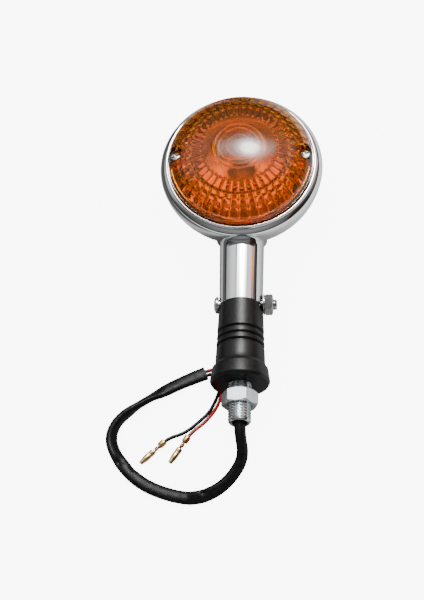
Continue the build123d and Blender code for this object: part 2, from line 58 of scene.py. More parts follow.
# ---------------------------------------------------------------- camera
azimuth, elevation, roll = (math.radians(v) for v in (8.584, 62.76, 8.439))
target = Vector((-12.330, 38.284, 5.170)) * MM
level = math.cos(elevation)
away = Vector((math.sin(azimuth) * level, -math.cos(azimuth) * level, math.sin(elevation)))
right = Vector((math.cos(azimuth), math.sin(azimuth), 0))
up = away.cross(right)
cam_x = right * math.cos(roll) - up * math.sin(roll)
cam_y = right * math.sin(roll) + up * math.cos(roll)
camera_data = bpy.data.cameras.new("camera")
camera_data.sensor_fit = "VERTICAL"
camera_data.sensor_height = 36
camera_data.lens = 138.6
camera_data.clip_end = 20
camera = bpy.data.objects.new("camera", camera_data)
bpy.context.scene.collection.objects.link(camera)
camera.matrix_world = Matrix((
    (cam_x.x, cam_y.x, away.x, target.x + away.x),
    (cam_x.y, cam_y.y, away.y, target.y + away.y),
    (cam_x.z, cam_y.z, away.z, target.z + away.z),
    (0, 0, 0, 1),
))
bpy.context.scene.camera = camera


# ---------------------------------------------------------------- materials
def material(name, color, rough=0.4, metal=0.0, **sockets):
    """A Principled material; sockets are set directly by name."""
    m = bpy.data.materials.new(name)
    m.use_nodes = True
    shader = m.node_tree.nodes["Principled BSDF"]
    shader.inputs["Base Color"].default_value = (*color, 1)
    shader.inputs["Roughness"].default_value = rough
    shader.inputs["Metallic"].default_value = metal
    for key, value in sockets.items():
        shader.inputs[key.replace("_", " ")].default_value = value
    return m


def noise(m, scale, detail=4.0, stretch=(1, 1, 1)):
    """Object-space noise, in cycles per metre."""
    t = m.node_tree
    where = t.nodes.new("ShaderNodeTexCoord")
    size = t.nodes.new("ShaderNodeMapping")
    size.inputs["Scale"].default_value = stretch
    n = t.nodes.new("ShaderNodeTexNoise")
    n.inputs["Scale"].default_value = scale
    n.inputs["Detail"].default_value = detail
    t.links.new(where.outputs["Object"], size.inputs["Vector"])
    t.links.new(size.outputs["Vector"], n.inputs["Vector"])
    return n.outputs["Fac"]


def vary_color(m, fac, a, b, low=0.35, high=0.65):
    t = m.node_tree
    ramp = t.nodes.new("ShaderNodeValToRGB")
    ramp.color_ramp.elements[0].position = low
    ramp.color_ramp.elements[0].color = (*a, 1)
    ramp.color_ramp.elements[1].position = high
    ramp.color_ramp.elements[1].color = (*b, 1)
    t.links.new(fac, ramp.inputs["Fac"])
    t.links.new(ramp.outputs["Color"], t.nodes["Principled BSDF"].inputs["Base Color"])


def vary_rough(m, fac, a, b):
    t = m.node_tree
    span = t.nodes.new("ShaderNodeMapRange")
    span.inputs["From Min"].default_value = 0.3
    span.inputs["From Max"].default_value = 0.7
    span.inputs["To Min"].default_value = a
    span.inputs["To Max"].default_value = b
    t.links.new(fac, span.inputs["Value"])
    t.links.new(span.outputs["Result"], t.nodes["Principled BSDF"].inputs["Roughness"])


def bump(m, fac, height, strength=0.5):
    t = m.node_tree
    b = t.nodes.new("ShaderNodeBump")
    b.inputs["Strength"].default_value = strength
    b.inputs["Distance"].default_value = height
    t.links.new(fac, b.inputs["Height"])
    t.links.new(b.outputs["Normal"], t.nodes["Principled BSDF"].inputs["Normal"])


def metal_finish(name, a, b, rough, scale=900, height=0.00001):
    m = material(name, a, rough[0], 1.0)
    n = noise(m, scale)
    vary_color(m, n, a, b)
    vary_rough(m, noise(m, scale * 0.35, 6), *rough)
    bump(m, n, height, 0.3)
    return m


chrome = metal_finish("chrome_plate", (0.80, 0.81, 0.83), (0.86, 0.865, 0.875), (0.025, 0.05), 160, 0.000002)
zinc = metal_finish("zinc_plate", (0.56, 0.61, 0.63), (0.70, 0.74, 0.75), (0.14, 0.24), 900, 0.000004)
bright = metal_finish("bright_steel", (0.55, 0.55, 0.54), (0.68, 0.68, 0.67), (0.14, 0.26), 900, 0.000004)
# painted shade: the lens screws' steel is made far darker than the bright steel, for heads sitting deep in their
# wells
screw_steel_painted_shade = metal_finish("screw_steel_painted_shade", (0.14, 0.135, 0.13), (0.24, 0.235, 0.23), (0.16, 0.26), 900, 0.000004)
tin = metal_finish("tin_plate", (0.55, 0.55, 0.52), (0.70, 0.70, 0.67), (0.25, 0.42), 700, 0.00002)
silvered = metal_finish("silvered_reflector", (0.84, 0.84, 0.84), (0.90, 0.90, 0.89), (0.05, 0.10), 240, 0.000006)
nickel = metal_finish("nickel_plate", (0.66, 0.64, 0.60), (0.78, 0.76, 0.72), (0.14, 0.26), 1100, 0.000006)
brass = metal_finish("brass", (0.72, 0.47, 0.17), (0.92, 0.70, 0.33), (0.18, 0.34), 1500, 0.00002)
copper = metal_finish("copper_strands", (0.45, 0.22, 0.10), (0.75, 0.42, 0.24), (0.25, 0.45), 3000, 0.00003)
solder = metal_finish("solder", (0.50, 0.50, 0.48), (0.66, 0.66, 0.63), (0.30, 0.45), 1800, 0.00003)
core_steel = metal_finish("black_oxide_steel", (0.04, 0.04, 0.04), (0.09, 0.09, 0.09), (0.35, 0.5), 900)
wire_steel = metal_finish("bare_wire", (0.32, 0.32, 0.33), (0.45, 0.45, 0.45), (0.25, 0.4), 1500)

rubber = material("damper_rubber", (0.003, 0.003, 0.0035), 0.36, 0.0, Specular_IOR_Level=0.34)
vary_color(rubber, noise(rubber, 420, 5), (0.002, 0.002, 0.0025), (0.005, 0.005, 0.0055))
vary_rough(rubber, noise(rubber, 900, 3), 0.33, 0.42)
bump(rubber, noise(rubber, 4200, 2), 0.00001, 0.25)

foam = material("gasket_silicone", (0.62, 0.60, 0.57), 0.55)
vary_color(foam, noise(foam, 700, 3), (0.58, 0.56, 0.53), (0.66, 0.64, 0.61))
bump(foam, noise(foam, 4000, 2), 0.00008, 0.6)

vinyl = material("sleeve_vinyl", (0.003, 0.003, 0.0035), 0.38, 0.0, Specular_IOR_Level=0.14)
vary_color(vinyl, noise(vinyl, 380, 5), (0.002, 0.002, 0.0025), (0.006, 0.006, 0.0065))
vary_rough(vinyl, noise(vinyl, 300, 2), 0.36, 0.42)
bump(vinyl, noise(vinyl, 700, 2), 0.000006, 0.25)

black_insulation = material("black_insulation", (0.003, 0.003, 0.0035), 0.35, 0.0, Specular_IOR_Level=0.22)
vary_rough(black_insulation, noise(black_insulation, 1200, 3), 0.28, 0.42)
bump(black_insulation, noise(black_insulation, 1600, 2), 0.000006, 0.25)
red_insulation = material("red_insulation", (0.34, 0.010, 0.008), 0.35, 0.0, Specular_IOR_Level=0.25)
vary_color(red_insulation, noise(red_insulation, 600, 3), (0.30, 0.008, 0.006), (0.40, 0.014, 0.010))
vary_rough(red_insulation, noise(red_insulation, 1200, 3), 0.28, 0.42)
bump(red_insulation, noise(red_insulation, 1600, 2), 0.000006, 0.25)

phenolic = material("phenolic_board", (0.10, 0.045, 0.025), 0.6)
vary_color(phenolic, noise(phenolic, 900, 4), (0.08, 0.035, 0.02), (0.13, 0.06, 0.035))
vitrite = material("black_vitrite", (0.01, 0.01, 0.01), 0.12)
vary_rough(vitrite, noise(vitrite, 900, 3), 0.08, 0.2)
bulb_glass = material("bulb_glass", (0.97, 0.97, 0.97), 0.0, 0.0, Transmission_Weight=1.0, IOR=1.12)
vary_rough(bulb_glass, noise(bulb_glass, 300, 2), 0.0, 0.02)

amber = material("amber_acrylic", (0.96, 0.30, 0.004), 0.0, 0.0, Transmission_Weight=0.97, IOR=1.46)
vary_color(amber, noise(amber, 60, 3), (0.95, 0.28, 0.003), (0.97, 0.33, 0.006))
vary_rough(amber, noise(amber, 260, 3), 0.0, 0.03)
amber_soft = material("amber_acrylic_stippled", (0.97, 0.33, 0.004), 0.20, 0.0, Transmission_Weight=0.97, IOR=1.46)
vary_color(amber_soft, noise(amber_soft, 60, 3), (0.96, 0.31, 0.003), (0.98, 0.36, 0.006))
vary_rough(amber_soft, noise(amber_soft, 900, 3), 0.16, 0.26)
# painted glints: a lighter, rougher and less clear amber for the lens's beads and circles
amber_glint_paint = material("amber_acrylic_painted_glint", (1.0, 0.50, 0.06), 0.5, 0.0, Transmission_Weight=0.45, IOR=1.46)
vary_color(amber_glint_paint, noise(amber_glint_paint, 60, 3), (1.0, 0.47, 0.05), (1.0, 0.53, 0.07))


# ---------------------------------------------------------------- mesh helpers, in millimetres
def finish_mesh(obj, m, body, smooth=35, merge=True):
    """Cleans a mesh, shades it, gives it a material and its body."""
    b = bmesh.new()
    b.from_mesh(obj.data)
    if merge:
        bmesh.ops.remove_doubles(b, verts=b.verts, dist=2e-8)
    bmesh.ops.recalc_face_normals(b, faces=b.faces)
    b.to_mesh(obj.data)
    b.free()
    for polygon in obj.data.polygons:
        polygon.use_smooth = True
    obj.data.set_sharp_from_angle(angle=math.radians(smooth))
    obj.data.materials.clear()
    obj.data.materials.append(m)
    if body:
        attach(obj, body)
    return obj


def grid(name, points, wrap_rows, wrap_columns=True):
    """A mesh from a (rows, columns, 3) array of points in millimetres."""
    rows, columns = points.shape[:2]
    faces = []
    for i in range(rows if wrap_rows else rows - 1):
        for j in range(columns if wrap_columns else columns - 1):
            i2, j2 = (i + 1) % rows, (j + 1) % columns
            faces.append((i * columns + j, i * columns + j2, i2 * columns + j2, i2 * columns + j))
    mesh = bpy.data.meshes.new(name)
    mesh.from_pydata((points.reshape(-1, 3) * MM).tolist(), [], faces)
    obj = bpy.data.objects.new(name, mesh)
    bpy.context.scene.collection.objects.link(obj)
    return obj


def placed(radius, along, theta, axis, centre):
    """Polar points about an axis: X, Y or Z."""
    c, s = np.cos(theta), np.sin(theta)
    spots = {
        "Z": (radius * c, radius * s, along + 0 * theta),
        "Y": (radius * c, along + 0 * theta, radius * s),
        "X": (along + 0 * theta, radius * c, radius * s),
    }[axis]
    return np.stack(spots, -1) + np.array(centre, float)


def rounded(points, radii, steps=6):
    """An outline with its corners rounded; radii is one number or one for each point."""
    n = len(points)
    radii = [radii] * n if isinstance(radii, (int, float)) else radii
    out = []
    for i, (p, r) in enumerate(zip(points, radii)):
        p = np.array(p, float)
        a, b = np.array(points[i - 1], float) - p, np.array(points[(i + 1) % n], float) - p
        la, lb = np.linalg.norm(a), np.linalg.norm(b)
        if r <= 0 or la < 1e-9 or lb < 1e-9:
            out.append(tuple(p))
            continue
        a, b = a / la, b / lb
        half = math.acos(max(-1, min(1, float(a @ b)))) / 2
        if half > math.pi / 2 - 0.02:
            out.append(tuple(p))
            continue
        back = min(r / math.tan(half), 0.49 * la, 0.49 * lb)
        for k in range(steps + 1):
            t = k / steps
            q = p + a * back * (1 - t) ** 2 + b * back * t**2
            out.append(tuple(q))
    return out


def lathe(name, outline, axis, centre, m, body, closed=True, segments=160, smooth=35):
    """A turned piece from (radius, along) points."""
    theta = np.linspace(0, TAU, segments, endpoint=False)
    pts = np.array([placed(max(r, 0.0), h, theta, axis, centre) for r, h in outline])
    return finish_mesh(grid(name, pts, closed), m, body, smooth)


def carve(obj, cutter, operation="DIFFERENCE"):
    """Applies an exact boolean and removes the cutter."""
    mod = obj.modifiers.new("cut", "BOOLEAN")
    mod.operation = operation
    mod.solver = "EXACT"
    mod.object = cutter
    bpy.context.view_layer.update()
    result = bpy.data.meshes.new_from_object(obj.evaluated_get(bpy.context.evaluated_depsgraph_get()))
    obj.modifiers.clear()
    obj.data = result
    bpy.data.objects.remove(cutter)


def plain(name, outline, axis, centre, segments=96):
    """A closed turned solid used as a cutter; the outline starts and ends on the axis."""
    theta = np.linspace(0, TAU, segments, endpoint=False)
    pts = np.array([placed(max(r, 0.0), h, theta, axis, centre) for r, h in outline])
    obj = grid(name, pts, False)
    b = bmesh.new()
    b.from_mesh(obj.data)
    bmesh.ops.remove_doubles(b, verts=b.verts, dist=2e-8)
    bmesh.ops.recalc_face_normals(b, faces=b.faces)
    b.to_mesh(obj.data)
    b.free()
    return obj


def joined(name, parts):
    """Joins meshes, each already in place, into one object."""
    b = bmesh.new()
    for part in parts:
        b.from_mesh(part.data)
        bpy.data.objects.remove(part)
    mesh = bpy.data.meshes.new(name)
    b.to_mesh(mesh)
    b.free()
    obj = bpy.data.objects.new(name, mesh)
    bpy.context.scene.collection.objects.link(obj)
    return obj


def paint(node, m):
    """Gives a carried-over CAD node its material."""
    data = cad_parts[node].data
    data.materials.clear()
    data.materials.append(m)


# ---------------------------------------------------------------- cords
SLEEVE = [
    (0, 7.5, 0), (0, -7.5, 0), (0.1, -22, -0.3), (1.8, -30.6, -6.4), (-3.4, -38.7, -9.6), (-9.8, -44.4, -10.25),
    (-17.8, -47.6, -10.25), (-27, -46.7, -10.25), (-38.4, -42.6, -10.25), (-46.2, -37, -10.25), (-53, -28.4, -10.25),
    (-56.2, -20.4, -10.25), (-53.8, -12.1, -10.25), (-46.1, -5.4, -10.25), (-36.9, 0.6, -10.25), (-25.4, 7.2, -10.25),
    (-15.6, 11.2, -10.25),
]
BLACK = [
    (-15.24, 10.32, -12.2), (-11.91, 11.69, -12.2), (-8.28, 8.8, -12.2), (-9.27, 3.85, -12.2), (-11.48, -2.56, -12.2),
    (-13.93, -7.44, -12.2), (-18.55, -12.06, -12.2), (-24.5, -17.09, -12.2),
    (-31.2, -19.4, -11.5), (-34.4, -22.6, -11.5),
]
RED = [
    (-15.96, 12.08, -12.2), (-11.71, 13.83, -12.2), (-6.9, 10.6, -12.2), (-7.55, 4.5, -12.2), (-9.55, -2.2, -12.2),
    (-11.25, -6.2, -12.2), (-15.6, -12.1, -12.2), (-21.5, -17, -11.5), (-23.9, -20.85, -11.5),
]
INNER_RED = [
    (0, 92.9, -8.4), (0, 87.5, -8.2), (0.6, 80.0, -6.8), (1.2, 71.0, -6.0), (0.6, 61.0, -5.6), (0, 51.5, -3.9),
    (0.1, 43.5, -3.7), (0, 36.5, -3.8), (0.5, 29.5, -2.2), (1.0, 21.5, -0.6), (1.0, 13.5, 0), (1.0, 7.5, 0),
]
INNER_BLACK = [
    (2.2, 92.4, -6.4), (3.2, 87.5, -6.0), (3.6, 80.0, -4.2), (3.0, 71.0, -1.5), (2.2, 61.0, 1.2), (1.0, 51.5, 3.4),
    (0.1, 43.5, 3.7), (0, 36.5, 3.8), (-0.6, 29.5, 2.2), (-1.0, 21.5, 0.6), (-1.0, 13.5, 0), (-1.0, 7.5, 0),
]


def spline(name, points, radius=0.0):
    """A NURBS curve with these control points, in millimetres."""
    data = bpy.data.curves.new(name, "CURVE")
    data.dimensions = "3D"
    s = data.splines.new("NURBS")
    s.points.add(len(points) - 1)
    for spot, p in zip(s.points, points):
        spot.co = (p[0] * MM, p[1] * MM, p[2] * MM, 1)
    s.order_u = 3
    s.use_endpoint_u = True
    s.resolution_u = 10
    data.bevel_depth = radius * MM
    data.bevel_resolution = 5
    data.use_fill_caps = radius > 0
    obj = bpy.data.objects.new(name, data)
    bpy.context.scene.collection.objects.link(obj)
    return obj


def followed(points):
    """The points, in millimetres, of the smooth line through a route."""
    guide = spline("guide", points)
    mesh = bpy.data.meshes.new_from_object(guide)
    path = np.array([v.co for v in mesh.vertices], float) / MM
    bpy.data.objects.remove(guide)
    return path


def tube(path, section, segments=36):
    """A tube along a path; section(share, theta) gives (sideways, upwards) offsets."""
    step = np.linalg.norm(np.diff(path, axis=0), axis=1)
    along = np.concatenate([[0], np.cumsum(step)])
    total = along[-1]
    theta = np.linspace(0, TAU, segments, endpoint=False)
    heading = np.gradient(path, along, axis=0)
    heading /= np.linalg.norm(heading, axis=1)[:, None]
    side = np.cross(heading, np.array([0, 0, 1.0]))
    side /= np.linalg.norm(side, axis=1)[:, None]
    top = np.cross(side, heading)
    rings = []
    for i in range(len(path)):
        a, b = section(along[i] / total, theta)
        rings.append(path[i] + a[:, None] * side[i] + b[:, None] * top[i])
    return np.array(rings)


def resampled(path, count):
    along = np.concatenate([[0], np.cumsum(np.linalg.norm(np.diff(path, axis=0), axis=1))])
    spots = np.linspace(0, along[-1], count)
    return np.stack([np.interp(spots, along, path[:, k]) for k in range(3)], -1), along[-1]


def key(share, table):
    """A smooth value along a table of (share, value)."""
    xs, ys = zip(*table)
    i = int(np.clip(np.searchsorted(xs, share) - 1, 0, len(xs) - 2))
    t = np.clip((share - xs[i]) / (xs[i + 1] - xs[i]), 0, 1)
    t = t * t * (3 - 2 * t)
    return ys[i] * (1 - t) + ys[i + 1] * t


# the sleeve: a thin tube, flattened and twisted, that lies on the floor past its first bend
TWIST = [
    (0, 60), (0.17, 60), (0.30, 52), (0.385, 28), (0.43, -4), (0.60, -8),
    (0.66, -40), (0.76, -74), (0.83, -120), (0.90, -172), (1.0, -180),
]
HALF_WIDE = [(0, 2.65), (0.15, 2.65), (0.3, 2.75), (0.42, 2.95), (0.62, 2.9), (0.75, 2.75), (0.88, 2.8), (1.0, 3.1)]
HALF_THICK = [
    (0, 2.2), (0.15, 2.2), (0.3, 1.95), (0.42, 1.6), (0.62, 1.7),
    (0.75, 1.75), (0.88, 1.6), (0.97, 1.35), (1.0, 1.25),
]
CREASES = [(0.375, 0.9), (0.405, 2.4), (0.585, 0.6), (0.62, 2.2), (0.86, 1.2)]  # share along, angle round


def sleeve_section(share, theta, scale=1.0):
    wide, thick = key(share, HALF_WIDE) * scale, key(share, HALF_THICK) * scale
    power = 0.82
    c, s = np.cos(theta), np.sin(theta)
    u = wide * np.sign(c) * np.abs(c) ** power
    v = thick * np.sign(s) * np.abs(s) ** power
    for at, where in CREASES:
        near = math.exp(-(((share - at) / 0.009) ** 2))
        u = u - 0.36 * near * np.exp(-(((theta - where) / 0.5) ** 2)) * u
        v = v - 0.52 * near * np.exp(-(((theta - where) / 0.6) ** 2)) * v
    ripple = 1 + 0.005 * math.sin(share * 310) * math.sin(share * 47)
    turn = math.radians(key(share, TWIST))
    return (u * math.cos(turn) - v * math.sin(turn)) * ripple, (u * math.sin(turn) + v * math.cos(turn)) * ripple


sleeve_line = followed(SLEEVE)
path, sleeve_length = resampled(sleeve_line, 340)
outer = tube(path, sleeve_section, 44)
inner = tube(path, lambda share, theta: sleeve_section(share, theta, 0.80), 44)
share = np.linspace(0, 1, len(path))
drop = np.array([FLOOR_Z - ring[:, 2].min() for ring in outer])
on_floor = np.clip((share - 0.33) / 0.08, 0, 1)
on_floor = on_floor * on_floor * (3 - 2 * on_floor)
drop = np.where(drop > 0, drop, drop * on_floor)
outer[:, :, 2] += drop[:, None]
inner[:, :, 2] += drop[:, None]
depth = 26
sleeve = grid("sleeve_tube", np.concatenate([outer, inner[::-1][:depth]]), False)
b = bmesh.new()
b.from_mesh(sleeve.data)
b.verts.ensure_lookup_table()
for row in (0, len(outer) + depth - 1):
    b.faces.new([b.verts[row * 44 + k] for k in range(44)])
b.to_mesh(sleeve.data)
b.free()
finish_mesh(sleeve, vinyl, "mount", 60)
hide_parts("wire_sleeve")

black_wire = spline("black_lead", BLACK, 0.8)
black_wire.data.materials.append(black_insulation)
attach(black_wire, "mount")
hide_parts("black_wire")
red_wire = spline("red_lead", RED, 0.8)
red_wire.data.materials.append(red_insulation)
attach(red_wire, "mount")
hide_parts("red_wire")


def line_length(points):
    return float(np.linalg.norm(np.diff(followed(points), axis=0), axis=1).sum())


for name, route, m, node, slot_name in (
    ("red_lead_inner", INNER_RED, red_insulation, "inner_red_wire", "red_wire_vinyl"),
    ("black_lead_inner", INNER_BLACK, black_insulation, "inner_black_wire", "black_wire_vinyl"),
):
    line, _ = resampled(followed(route), 90)
    rings = tube(line, lambda share, theta: (0.8 * np.cos(theta), 0.8 * np.sin(theta)), 16)
    ends = [np.repeat(line[:1], 16, 0)[None], rings, np.repeat(line[-1:], 16, 0)[None]]
    lead = grid(name, np.concatenate(ends), False)
    finish_mesh(lead, m, None, 50)
    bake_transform(lead)
    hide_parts(node)


# ---------------------------------------------------------------- bullet terminals
def arc_shell(name, spans, start, heading, gap, low, high, turn=0.0):
    """A rolled sheet shell: spans are (distance, radius); the gap is its open angle, in degrees, at the top."""
    n = 40
    theta = np.linspace(math.radians(90 + gap / 2), math.radians(450 - gap / 2), n) + math.radians(turn)
    rows = []
    for k, (d, r) in enumerate(spans):
        rows.append(np.stack([np.full(n, d), r * np.cos(theta), r * np.sin(theta)], -1))
    outer_rows = np.array(rows)
    inner_rows = outer_rows.copy()
    span_radii = np.array([r for _, r in spans])
    inner_rows[:, :, 1:] *= ((span_radii - (high - low)) / span_radii)[:, None, None]
    loop = np.concatenate([outer_rows, inner_rows[::-1]])
    shell = to_heading(loop, start, heading)
    obj = grid(name, shell, True, False)
    b = bmesh.new()
    b.from_mesh(obj.data)
    b.verts.ensure_lookup_table()
    total = len(loop)
    m = len(spans)
    for edge in (0, n - 1):
        for i in range(m - 1):
            a, c = i, i + 1
            f = [a * n + edge, c * n + edge, (total - 1 - c) * n + edge, (total - 1 - a) * n + edge]
            b.faces.new([b.verts[v] for v in f])
    b.to_mesh(obj.data)
    b.free()
    return obj


def to_heading(local, start, heading):
    """Local (along, sideways, up) to the row's frame."""
    c, s = math.cos(math.radians(heading)), math.sin(math.radians(heading))
    x, y, z = local[..., 0], local[..., 1], local[..., 2]
    return np.stack([start[0] + x * c - y * s, start[1] + x * s + y * c, start[2] + z], -1)


# (distance along, radius) of the crimp round the insulation, the crimp round the wire, and the barrel
GRIP_CRIMP = [(0.0, 1.30), (0.15, 1.42), (1.4, 1.45), (2.8, 1.36), (3.0, 1.25)]
WIRE_CRIMP = [(3.9, 0.72), (4.1, 0.86), (5.3, 0.86), (5.5, 0.72)]
BARREL = [
    (6.3, 0.92), (6.7, 1.30), (7.0, 1.36), (8.3, 1.36), (8.45, 1.28), (8.7, 1.28),
    (8.85, 1.36), (11.4, 1.35), (11.9, 1.24), (13.5, 0.98), (14.0, 0.93), (14.2, 0.84),
]
STRANDS = [(2.2, 0.0), (2.2, 0.5), (3.4, 0.52), (4.6, 0.5), (5.6, 0.44), (5.7, 0.0)]


def bullet(name, route, heading, node, roll_turn):
    """A rolled brass bullet terminal at the end of a lead, and the bare strands in its crimp."""
    end = np.array(route[-1], float)
    c, s = math.cos(math.radians(heading)), math.sin(math.radians(heading))
    start = end - 2.4 * np.array([c, s, 0])
    parts = [
        arc_shell("a", GRIP_CRIMP, start, heading, 34, 1.05, 1.35, roll_turn),
        arc_shell("b", WIRE_CRIMP, start, heading, 70, 0.6, 0.86, roll_turn),
        arc_shell("c", BARREL, start, heading, 16, 1.0, 1.28, roll_turn),
    ]
    # the strip under the crimps that joins them to the barrel
    n = 24
    t = np.linspace(0, 1, n)
    rows = []
    for k in range(n):
        d = 2.4 + t[k] * 4.9
        low = -np.interp(d, [2.4, 3.4, 4.0, 5.4, 6.2, 7.3], [1.22, 0.84, 0.74, 0.74, 0.88, 1.16])
        half = np.interp(d, [2.4, 3.2, 3.8, 5.6, 6.4, 7.3], [0.95, 0.72, 0.6, 0.6, 0.75, 0.9])
        under = [(d, -half, low + 0.22), (d, 0, low), (d, half, low + 0.22)]
        over = [(d, half * 0.9, low + 0.48), (d, 0, low + 0.3), (d, -half * 0.9, low + 0.48)]
        rows.append(under + over)
    strip = np.array(rows, float)
    turn = math.radians(roll_turn)
    y, z = strip[..., 1].copy(), strip[..., 2].copy()
    strip[..., 1] = y * math.cos(turn) - z * math.sin(turn)
    strip[..., 2] = y * math.sin(turn) + z * math.cos(turn)
    parts.append(grid("d", to_heading(strip, start, heading), False))
    obj = joined(name, parts)
    finish_mesh(obj, brass, "mount", 32)
    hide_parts(node)
    round_it = np.linspace(0, TAU, 14, endpoint=False)
    strands = np.array([[(d, r * math.cos(a), r * math.sin(a)) for a in round_it] for d, r in STRANDS])
    core = grid(name + "_strands", to_heading(strands, start, heading), False)
    finish_mesh(core, copper, "mount", 40)
    return obj, core


black_bullet, black_strands = bullet("black_bullet", BLACK, 225, "black_terminal", 28)
red_bullet, red_strands = bullet("red_bullet", RED, 238, "red_terminal", -34)

line_length(BLACK) * MM
line_length(RED) * MM


# ---------------------------------------------------------------- bowl
def arc3(p, q, r, steps=14):
    """Points on the circle through three points, from p to r."""
    (ax, ay), (bx, by), (cx, cy) = p, q, r
    d = 2 * (ax * (by - cy) + bx * (cy - ay) + cx * (ay - by))
    ux = ((ax**2 + ay**2) * (by - cy) + (bx**2 + by**2) * (cy - ay) + (cx**2 + cy**2) * (ay - by)) / d
    uy = ((ax**2 + ay**2) * (cx - bx) + (bx**2 + by**2) * (ax - cx) + (cx**2 + cy**2) * (bx - ax)) / d
    rad = math.hypot(ax - ux, ay - uy)
    a0, a1, a2 = (math.atan2(y - uy, x - ux) for x, y in (p, q, r))
    while a1 < a0:
        a1 += TAU
    while a2 < a0:
        a2 += TAU
    if a1 > a2:
        a2 -= TAU
    return [(ux + rad * math.cos(a), uy + rad * math.sin(a)) for a in np.linspace(a0, a2, steps)]


CENTRE = (0, LAMP_Y, 0)
outside = (
    [(0, -13.0), (8, -13.0), (16.2, -13.0), (16.8, -12.98)]
    + arc3((17.4, -12.8), (32.3, 0), (35.9, 11.3), 40)
    + arc3((35.9, 11.3), (35.3, 13.9), (33.75, 15.7), 12)[1:]
    + [(33.5, 15.86), (33.36, 15.92)]
    + arc3((33.30, 16.05), (32.8, 17.0), (32.1, 16.3), 12)
    + [(32.1, 15.2), (29.2, 15.2)]
)
shell = plain("bowl_shell", outside + [(29.2, 15.2), (29.0, 15.2), (0, 15.2)], "Z", CENTRE, 224)
collar_outline = rounded([(0, 69.7), (11.2, 69.7), (11.2, 84), (0, 84)], [0, 0.35, 0, 0])
collar = plain("collar", collar_outline, "Y", (0, 0, 0), 128)
carve(shell, collar, "UNION")
hollow = plain(
    "hollow",
    [(0, -11.8), (16.7, -11.8)]
    + arc3((16.7, -11.8), (31.26, 0.61), (34.7, 11.5), 30)[1:]
    + [(32.7, 14.0), (29.2, 14.0), (29.2, 18), (0, 18)],
    "Z", CENTRE, 160,
)
carve(shell, hollow)
carve(shell, plain("bore", [(0, 60), (9.8, 60), (9.8, 84), (0, 84)], "Y", (0, 0, 0), 128))
for x in (-14.6, 14.6):
    carve(shell, plain("hole", [(0, -14), (1.2, -14), (1.2, -11), (0, -11)], "Z", (x, LAMP_Y, 0), 32))
finish_mesh(shell, chrome, "lamp", 30)
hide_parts("housing")

# stalk
stalk = lathe(
    "stalk_tube",
    rounded([(8.1, 37.2), (9.45, 37.2), (9.8, 68.7), (9.8, 74.0), (8.1, 74.0)], [0.1, 0.3, 0, 0.1, 0.1]),
    "Y", (0, 0, 0), chrome, None, True, 192,
)
carve(stalk, plain("notch", [(0, -15), (2.65, -15), (2.65, 15), (0, 15)], "X", (0, 38.2, 0), 48))
finish_mesh(stalk, chrome, "lamp", 30)
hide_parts("stalk")


# ---------------------------------------------------------------- fasteners
def hexagon(theta, flats, turn):
    """Distance from the axis to the sides of a hexagon with a corner at turn degrees."""
    a = (theta - math.radians(turn)) % (math.pi / 3) - math.pi / 6
    return flats / 2 / np.cos(a)


def hex_nut(name, axis, centre, near, far, flats, bore, turn, m, body):
    """A nut with both faces turned off at 30 degrees, and a countersunk bore."""
    theta = np.linspace(0, TAU, 240, endpoint=False) + math.radians(turn)
    sides = hexagon(theta, flats, turn)
    face = flats / 2 * 0.955
    corner = flats / math.sqrt(3)
    rise = (corner - face) * math.tan(math.radians(30))
    rows = []
    levels = np.concatenate([np.linspace(0, rise, 12), np.linspace(far - near - rise, far - near, 12)])
    for h in levels:
        cone = face + min(h, far - near - h) / math.tan(math.radians(30))
        rows.append(placed(np.minimum(sides, cone), near + h, theta, axis, centre))
    rows.append(placed(bore + 0.45, far, theta, axis, centre))
    rows.append(placed(bore, far - 0.45, theta, axis, centre))
    rows.append(placed(bore, near + 0.45, theta, axis, centre))
    rows.append(placed(bore + 0.45, near, theta, axis, centre))
    return finish_mesh(grid(name, np.array(rows), True), m, body, 24)


def threaded(radius, pitch, low, high, theta, depth, runout=0.8):
    """Rings of a helical thread between two distances along an axis."""
    rows = []
    levels = np.arange(low, high + 1e-6, pitch / 10)
    for h in levels:
        phase = (h / pitch - theta / TAU) % 1.0
        tri = np.abs(2 * phase - 1)
        groove = np.clip((tri - 0.14) / 0.72, 0, 1)
        fade = min(1.0, max(0.0, (h - low) / runout), max(0.0, (high - h) / runout))
        rows.append((radius - depth * groove * fade, h))
    return rows


theta = np.linspace(0, TAU, 96, endpoint=False)
rows = [placed(r, h, theta, "Y", (0, 0, 0)) for r, h in ((3.3, 5.8), (3.3, -17.4), (3.55, -17.85), (3.8, -18.0))]
for r, h in rounded([(3.8, -18.0), (4.35, -18.0), (5.0, -16.9)], [0, 0.6, 0])[1:-1]:
    rows.append(placed(r, h, theta, "Y", (0, 0, 0)))
for r, h in threaded(5.0, 1.25, -17.35, 1.0, theta, 0.77, 0.9):
    nose = min(5.0, 4.35 + (h + 18.0) * 0.62)
    rows.append(placed(np.minimum(r, nose), h, theta, "Y", (0, 0, 0)))
for r, h in ((5.0, 5.8), (8.0, 5.8), (8.0, 8.6), (5.0, 8.6), (5.0, 12.0), (3.3, 12.0)):
    rows.append(placed(r, h, theta, "Y", (0, 0, 0)))
stud = finish_mesh(grid("threaded_stud", np.array(rows), True), zinc, "mount", 40)
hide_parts("mounting_stud")

nut = hex_nut("stud_nut", "Y", (0, 0, 0), -10.1, -3.75, 14.0, 5.05, 7.5, zinc, "mounting_nut")
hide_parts("mounting_nut")
small_nut = hex_nut("bolt_nut", "X", (0, 38.2, 0), 10.3, 13.9, 8.0, 2.55, 20, bright, "clamp_nut")
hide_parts("clamp_nut")

